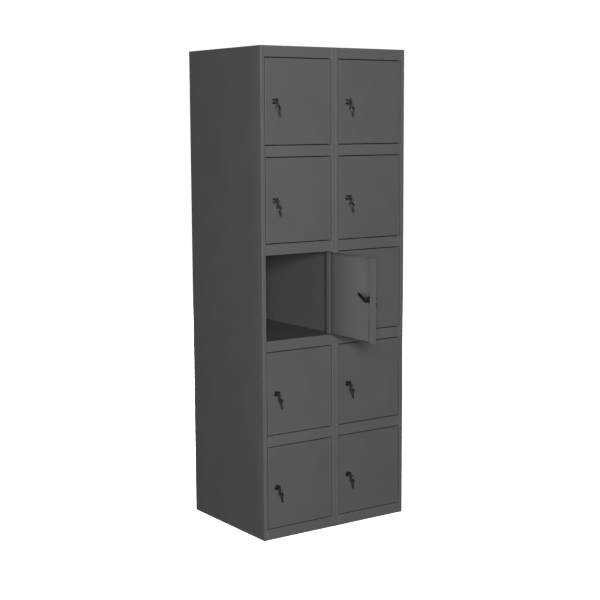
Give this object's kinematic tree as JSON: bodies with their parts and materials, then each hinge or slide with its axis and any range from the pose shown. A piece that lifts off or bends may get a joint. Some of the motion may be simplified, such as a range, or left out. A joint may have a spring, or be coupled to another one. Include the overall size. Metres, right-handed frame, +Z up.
{
  "type": "multi-door steel locker cabinet",
  "caption": "Free-standing sheet-steel locker cabinet: two bays of small hinged doors, each with a cam lock and its keys.",
  "frame": {"origin": "on the floor at the middle of the cabinet's base", "axes": "+X to the right along the front, -Y out of the door side, +Z up"},
  "size_m": [0.65, 0.779, 1.8],
  "materials": {
    "paint": "satin",
    "lock_metal": "polished",
    "key_metal": "satin",
    "nylon": "matte"
  },
  "bodies": {
    "cabinet": {"side_panel_left": "paint", "side_panel_right": "paint", "partition_left": "paint", "partition_right": "paint", "back_panel": "paint", "top_panels": "paint", "bottom_panels": "paint", "shelves_left": "paint", "shelves_right": "paint", "hinge_bushes": "nylon"},
    "door_left_1": {"door_left_1": "paint", "lock_housing_left_1": "lock_metal"},
    "plug_left_1": {"lock_plug_left_1": "lock_metal"},
    "key_left_1": {"key_left_1": "key_metal"},
    "spare_left_1": {"spare_key_left_1": "key_metal"},
    "door_left_2": {"door_left_2": "paint", "lock_housing_left_2": "lock_metal"},
    "plug_left_2": {"lock_plug_left_2": "lock_metal"},
    "key_left_2": {"key_left_2": "key_metal"},
    "spare_left_2": {"spare_key_left_2": "key_metal"},
    "door_left_3": {"door_left_3": "paint", "lock_housing_left_3": "lock_metal"},
    "plug_left_3": {"lock_plug_left_3": "lock_metal"},
    "key_left_3": {"key_left_3": "key_metal"},
    "spare_left_3": {"spare_key_left_3": "key_metal"},
    "door_left_4": {"door_left_4": "paint", "lock_housing_left_4": "lock_metal"},
    "plug_left_4": {"lock_plug_left_4": "lock_metal"},
    "key_left_4": {"key_left_4": "key_metal"},
    "spare_left_4": {"spare_key_left_4": "key_metal"},
    "door_left_5": {"door_left_5": "paint", "lock_housing_left_5": "lock_metal"},
    "plug_left_5": {"lock_plug_left_5": "lock_metal"},
    "key_left_5": {"key_left_5": "key_metal"},
    "spare_left_5": {"spare_key_left_5": "key_metal"},
    "door_right_1": {"door_right_1": "paint", "lock_housing_right_1": "lock_metal"},
    "plug_right_1": {"lock_plug_right_1": "lock_metal"},
    "key_right_1": {"key_right_1": "key_metal"},
    "spare_right_1": {"spare_key_right_1": "key_metal"},
    "door_right_2": {"door_right_2": "paint", "lock_housing_right_2": "lock_metal"},
    "plug_right_2": {"lock_plug_right_2": "lock_metal"},
    "key_right_2": {"key_right_2": "key_metal"},
    "spare_right_2": {"spare_key_right_2": "key_metal"},
    "door_right_3": {"door_right_3": "paint", "lock_housing_right_3": "lock_metal"},
    "plug_right_3": {"lock_plug_right_3": "lock_metal"},
    "key_right_3": {"key_right_3": "key_metal"},
    "spare_right_3": {"spare_key_right_3": "key_metal"},
    "door_right_4": {"door_right_4": "paint", "lock_housing_right_4": "lock_metal"},
    "plug_right_4": {"lock_plug_right_4": "lock_metal"},
    "key_right_4": {"key_right_4": "key_metal"},
    "spare_right_4": {"spare_key_right_4": "key_metal"},
    "door_right_5": {"door_right_5": "paint", "lock_housing_right_5": "lock_metal"},
    "plug_right_5": {"lock_plug_right_5": "lock_metal"},
    "key_right_5": {"key_right_5": "key_metal"},
    "spare_right_5": {"spare_key_right_5": "key_metal"}
  },
  "joints": [
    {"name": "door_left_1", "type": "hinge", "parent": "cabinet", "child": "door_left_1", "pos_m": [-0.0224, -0.2454, 1.604], "axis": [0, 0, 1], "range_deg": [0, 95]},
    {"name": "lock_left_1", "type": "hinge", "parent": "door_left_1", "child": "plug_left_1", "pos_m": [-0.27, -0.25, 1.604], "axis": [0, -1, 0], "range_deg": [0, 180]},
    {"name": "pull_key_left_1", "type": "slide", "parent": "plug_left_1", "child": "key_left_1", "axis": [0, -1, 0], "range_m": [0, 0.03]},
    {"name": "ring_left_1", "type": "hinge", "parent": "key_left_1", "child": "spare_left_1", "pos_m": [-0.27, -0.2746, 1.604], "axis": [-1, 0, 0], "range_deg": [0, 180]},
    {"name": "door_left_2", "type": "hinge", "parent": "cabinet", "child": "door_left_2", "pos_m": [-0.0224, -0.2454, 1.252], "axis": [0, 0, 1], "range_deg": [0, 95]},
    {"name": "lock_left_2", "type": "hinge", "parent": "door_left_2", "child": "plug_left_2", "pos_m": [-0.27, -0.25, 1.252], "axis": [0, -1, 0], "range_deg": [0, 180]},
    {"name": "pull_key_left_2", "type": "slide", "parent": "plug_left_2", "child": "key_left_2", "axis": [0, -1, 0], "range_m": [0, 0.03]},
    {"name": "ring_left_2", "type": "hinge", "parent": "key_left_2", "child": "spare_left_2", "pos_m": [-0.27, -0.2746, 1.252], "axis": [-1, 0, 0], "range_deg": [0, 180]},
    {"name": "door_left_3", "type": "hinge", "parent": "cabinet", "child": "door_left_3", "pos_m": [-0.0224, -0.2454, 0.9], "axis": [0, 0, 1], "range_deg": [-88.5, 6.5]},
    {"name": "lock_left_3", "type": "hinge", "parent": "door_left_3", "child": "plug_left_3", "pos_m": [-0.02428, -0.49304, 0.9], "axis": [0.9997, -0.0262, 0], "range_deg": [0, 180]},
    {"name": "pull_key_left_3", "type": "slide", "parent": "plug_left_3", "child": "key_left_3", "axis": [0.9997, -0.0262, 0], "range_m": [0, 0.03]},
    {"name": "ring_left_3", "type": "hinge", "parent": "key_left_3", "child": "spare_left_3", "pos_m": [0.00031, -0.49368, 0.9], "axis": [-0.0262, -0.9997, 0], "range_deg": [0, 180]},
    {"name": "door_left_4", "type": "hinge", "parent": "cabinet", "child": "door_left_4", "pos_m": [-0.0224, -0.2454, 0.548], "axis": [0, 0, 1], "range_deg": [0, 95]},
    {"name": "lock_left_4", "type": "hinge", "parent": "door_left_4", "child": "plug_left_4", "pos_m": [-0.27, -0.25, 0.548], "axis": [0, -1, 0], "range_deg": [0, 180]},
    {"name": "pull_key_left_4", "type": "slide", "parent": "plug_left_4", "child": "key_left_4", "axis": [0, -1, 0], "range_m": [0, 0.03]},
    {"name": "ring_left_4", "type": "hinge", "parent": "key_left_4", "child": "spare_left_4", "pos_m": [-0.27, -0.2746, 0.548], "axis": [-1, 0, 0], "range_deg": [0, 180]},
    {"name": "door_left_5", "type": "hinge", "parent": "cabinet", "child": "door_left_5", "pos_m": [-0.0224, -0.2454, 0.196], "axis": [0, 0, 1], "range_deg": [0, 95]},
    {"name": "lock_left_5", "type": "hinge", "parent": "door_left_5", "child": "plug_left_5", "pos_m": [-0.27, -0.25, 0.196], "axis": [0, -1, 0], "range_deg": [0, 180]},
    {"name": "pull_key_left_5", "type": "slide", "parent": "plug_left_5", "child": "key_left_5", "axis": [0, -1, 0], "range_m": [0, 0.03]},
    {"name": "ring_left_5", "type": "hinge", "parent": "key_left_5", "child": "spare_left_5", "pos_m": [-0.27, -0.2746, 0.196], "axis": [-1, 0, 0], "range_deg": [0, 180]},
    {"name": "door_right_1", "type": "hinge", "parent": "cabinet", "child": "door_right_1", "pos_m": [0.3027, -0.2454, 1.604], "axis": [0, 0, 1], "range_deg": [0, 95]},
    {"name": "lock_right_1", "type": "hinge", "parent": "door_right_1", "child": "plug_right_1", "pos_m": [0.0551, -0.25, 1.604], "axis": [0, -1, 0], "range_deg": [0, 180]},
    {"name": "pull_key_right_1", "type": "slide", "parent": "plug_right_1", "child": "key_right_1", "axis": [0, -1, 0], "range_m": [0, 0.03]},
    {"name": "ring_right_1", "type": "hinge", "parent": "key_right_1", "child": "spare_right_1", "pos_m": [0.0551, -0.2746, 1.604], "axis": [-1, 0, 0], "range_deg": [0, 180]},
    {"name": "door_right_2", "type": "hinge", "parent": "cabinet", "child": "door_right_2", "pos_m": [0.3027, -0.2454, 1.252], "axis": [0, 0, 1], "range_deg": [0, 95]},
    {"name": "lock_right_2", "type": "hinge", "parent": "door_right_2", "child": "plug_right_2", "pos_m": [0.0551, -0.25, 1.252], "axis": [0, -1, 0], "range_deg": [0, 180]},
    {"name": "pull_key_right_2", "type": "slide", "parent": "plug_right_2", "child": "key_right_2", "axis": [0, -1, 0], "range_m": [0, 0.03]},
    {"name": "ring_right_2", "type": "hinge", "parent": "key_right_2", "child": "spare_right_2", "pos_m": [0.0551, -0.2746, 1.252], "axis": [-1, 0, 0], "range_deg": [0, 180]},
    {"name": "door_right_3", "type": "hinge", "parent": "cabinet", "child": "door_right_3", "pos_m": [0.3027, -0.2454, 0.9], "axis": [0, 0, 1], "range_deg": [0, 95]},
    {"name": "lock_right_3", "type": "hinge", "parent": "door_right_3", "child": "plug_right_3", "pos_m": [0.0551, -0.25, 0.9], "axis": [0, -1, 0], "range_deg": [0, 180]},
    {"name": "pull_key_right_3", "type": "slide", "parent": "plug_right_3", "child": "key_right_3", "axis": [0, -1, 0], "range_m": [0, 0.03]},
    {"name": "ring_right_3", "type": "hinge", "parent": "key_right_3", "child": "spare_right_3", "pos_m": [0.0551, -0.2746, 0.9], "axis": [-1, 0, 0], "range_deg": [0, 180]},
    {"name": "door_right_4", "type": "hinge", "parent": "cabinet", "child": "door_right_4", "pos_m": [0.3027, -0.2454, 0.548], "axis": [0, 0, 1], "range_deg": [0, 95]},
    {"name": "lock_right_4", "type": "hinge", "parent": "door_right_4", "child": "plug_right_4", "pos_m": [0.0551, -0.25, 0.548], "axis": [0, -1, 0], "range_deg": [0, 180]},
    {"name": "pull_key_right_4", "type": "slide", "parent": "plug_right_4", "child": "key_right_4", "axis": [0, -1, 0], "range_m": [0, 0.03]},
    {"name": "ring_right_4", "type": "hinge", "parent": "key_right_4", "child": "spare_right_4", "pos_m": [0.0551, -0.2746, 0.548], "axis": [-1, 0, 0], "range_deg": [0, 180]},
    {"name": "door_right_5", "type": "hinge", "parent": "cabinet", "child": "door_right_5", "pos_m": [0.3027, -0.2454, 0.196], "axis": [0, 0, 1], "range_deg": [0, 95]},
    {"name": "lock_right_5", "type": "hinge", "parent": "door_right_5", "child": "plug_right_5", "pos_m": [0.0551, -0.25, 0.196], "axis": [0, -1, 0], "range_deg": [0, 180]},
    {"name": "pull_key_right_5", "type": "slide", "parent": "plug_right_5", "child": "key_right_5", "axis": [0, -1, 0], "range_m": [0, 0.03]},
    {"name": "ring_right_5", "type": "hinge", "parent": "key_right_5", "child": "spare_right_5", "pos_m": [0.0551, -0.2746, 0.196], "axis": [-1, 0, 0], "range_deg": [0, 180]}
  ],
  "couplings": [
    {"joint": "ring_left_1", "follows": "lock_left_1", "ratio": 1},
    {"joint": "ring_left_2", "follows": "lock_left_2", "ratio": 1},
    {"joint": "ring_left_3", "follows": "lock_left_3", "ratio": 1},
    {"joint": "ring_left_4", "follows": "lock_left_4", "ratio": 1},
    {"joint": "ring_left_5", "follows": "lock_left_5", "ratio": 1},
    {"joint": "ring_right_1", "follows": "lock_right_1", "ratio": 1},
    {"joint": "ring_right_2", "follows": "lock_right_2", "ratio": 1},
    {"joint": "ring_right_3", "follows": "lock_right_3", "ratio": 1},
    {"joint": "ring_right_4", "follows": "lock_right_4", "ratio": 1},
    {"joint": "ring_right_5", "follows": "lock_right_5", "ratio": 1}
  ]
}
